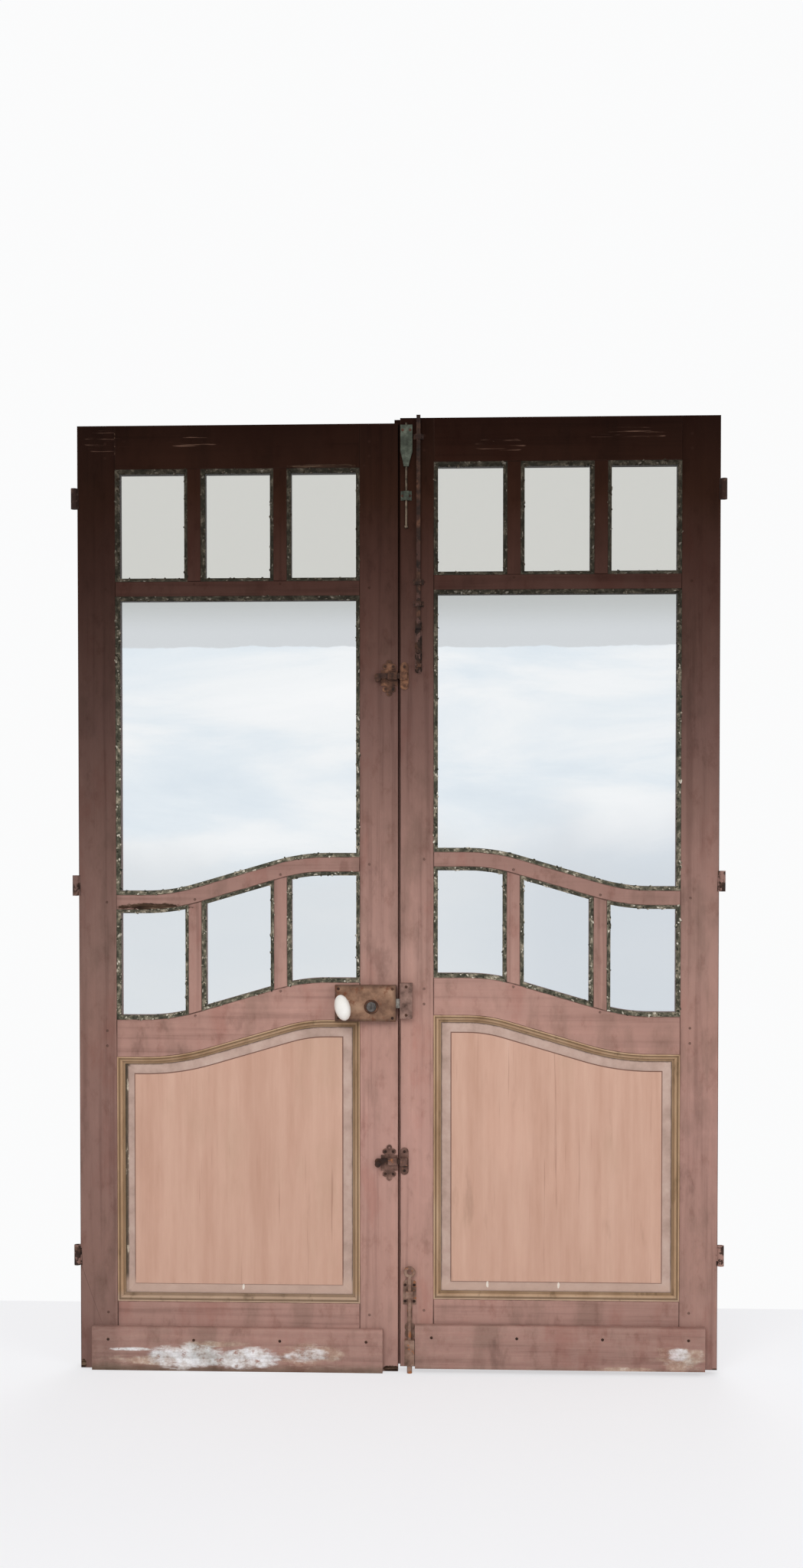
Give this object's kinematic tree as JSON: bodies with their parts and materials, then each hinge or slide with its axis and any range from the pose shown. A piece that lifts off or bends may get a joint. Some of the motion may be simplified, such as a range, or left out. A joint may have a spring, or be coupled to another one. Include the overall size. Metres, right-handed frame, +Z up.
{
  "type": "pair of glazed double doors",
  "caption": "Pair of old glazed double doors with curved rails, raised panels, a rim lock and slide bolts; the left leaf swings.",
  "frame": {"origin": "mouth of the right leaf's lowest hinge knuckle, on the hinge axis", "axes": "+Z up, +X to the right seen from the lock side, +Y from the lock side through the leaves"},
  "size_m": [1.501, 0.1586, 2.197],
  "materials": {
    "frame_paint": "old oil paint, dark brown above, dusty rose below, chipped",
    "panel_paint": "salmon paint with brushed streaks",
    "moulding_paint": "olive gold paint",
    "board_paint": "dusty rose paint, worn to white filler",
    "glass": "old drawn glass, slightly wavy",
    "putty": "dried putty, dark paint flaking to cream",
    "peg_wood": "dark end grain",
    "rusty_iron": "rusty brown, pitted",
    "dark_iron": "dark brown rust",
    "painted_iron": "grey green paint over rust",
    "lock_metal": "tan paint over rust",
    "bare_steel": "worn bright by use",
    "old_brass": "dull brown brass",
    "porcelain": "glossy white glaze"
  },
  "bodies": {
    "dormant_leaf": {"right_hinge_stile": "frame_paint", "right_meeting_stile": "frame_paint", "right_top_rail": "frame_paint", "right_light_rail": "frame_paint", "right_curved_bar": "frame_paint", "right_lock_rail": "frame_paint", "right_bottom_rail": "frame_paint", "right_mullions": "frame_paint", "right_panel": "panel_paint", "right_panel_moulding": "moulding_paint", "right_kick_board": "board_paint", "right_large_pane": "glass", "right_small_panes": "glass", "right_putty": "putty", "right_pegs": "peg_wood", "right_hinge_straps": "rusty_iron", "lock_keeper": "rusty_iron", "upper_bolt_keeper": "rusty_iron", "lower_bolt_keeper": "rusty_iron", "top_bolt_guides": "rusty_iron", "top_latch_guides": "painted_iron", "bottom_bolt_plate": "rusty_iron", "right_screws": "dark_iron"},
    "active_leaf": {"left_hinge_stile": "frame_paint", "left_meeting_stile": "frame_paint", "left_top_rail": "frame_paint", "left_light_rail": "frame_paint", "left_curved_bar": "frame_paint", "left_lock_rail": "frame_paint", "left_bottom_rail": "frame_paint", "left_mullions": "frame_paint", "left_panel": "panel_paint", "left_panel_moulding": "moulding_paint", "left_kick_board": "board_paint", "left_large_pane": "glass", "left_small_panes": "glass", "left_putty": "putty", "left_pegs": "peg_wood", "left_hinge_straps": "rusty_iron", "lock_case": "lock_metal", "lock_back_plate": "rusty_iron", "back_rose": "old_brass", "key_rose": "rusty_iron", "upper_bolt_plate": "rusty_iron", "lower_bolt_plate": "rusty_iron", "left_screws": "dark_iron"},
    "knob_set": {"knob_spindle": "old_brass", "lock_follower": "rusty_iron", "front_knob": "porcelain", "back_knob": "porcelain", "back_collar": "old_brass"},
    "latch": {"latch_bolt": "bare_steel"},
    "key_turn_plug": {"key_plug": "bare_steel"},
    "upper_slide": {"upper_bolt_bar": "dark_iron"},
    "lower_slide": {"lower_bolt_bar": "dark_iron"},
    "long_bolt": {"top_bolt": "dark_iron"},
    "latch_rod": {"top_latch_rod": "bare_steel"},
    "foot_bolt": {"bottom_bolt": "dark_iron"}
  },
  "joints": [
    {"name": "leaf_swing", "type": "hinge", "parent": "dormant_leaf", "child": "active_leaf", "pos_m": [-1.486, 0, 0.847], "axis": [0, 0, -1], "range_deg": [0, 115]},
    {"name": "knob_turn", "type": "hinge", "parent": "active_leaf", "child": "knob_set", "pos_m": [-0.864, 0, 0.595], "axis": [0, 1, 0], "range_deg": [-14, 34]},
    {"name": "latch_slide", "type": "slide", "parent": "active_leaf", "child": "latch", "axis": [1, 0, 0], "range_m": [-0.005, 0.012]},
    {"name": "key_turn", "type": "hinge", "parent": "active_leaf", "child": "key_turn_plug", "pos_m": [-0.8005, 0, 0.594], "axis": [0, 1, 0], "range_deg": [-90, 90]},
    {"name": "upper_bolt_slide", "type": "slide", "parent": "active_leaf", "child": "upper_slide", "axis": [1, 0, 0], "range_m": [-0.008, 0.014]},
    {"name": "lower_bolt_slide", "type": "slide", "parent": "active_leaf", "child": "lower_slide", "axis": [1, 0, 0], "range_m": [-0.008, 0.014]},
    {"name": "top_bolt_slide", "type": "slide", "parent": "dormant_leaf", "child": "long_bolt", "axis": [0, 0, 1], "range_m": [-0.015, 0.012]},
    {"name": "top_latch_slide", "type": "slide", "parent": "dormant_leaf", "child": "latch_rod", "axis": [0, 0, 1], "range_m": [-0.005, 0.015]},
    {"name": "bottom_bolt_slide", "type": "slide", "parent": "dormant_leaf", "child": "foot_bolt", "axis": [0, 0, 1], "range_m": [0, 0.025]}
  ],
  "couplings": [
    {"joint": "latch_slide", "follows": "knob_turn", "m_per_rad": 0.02}
  ]
}
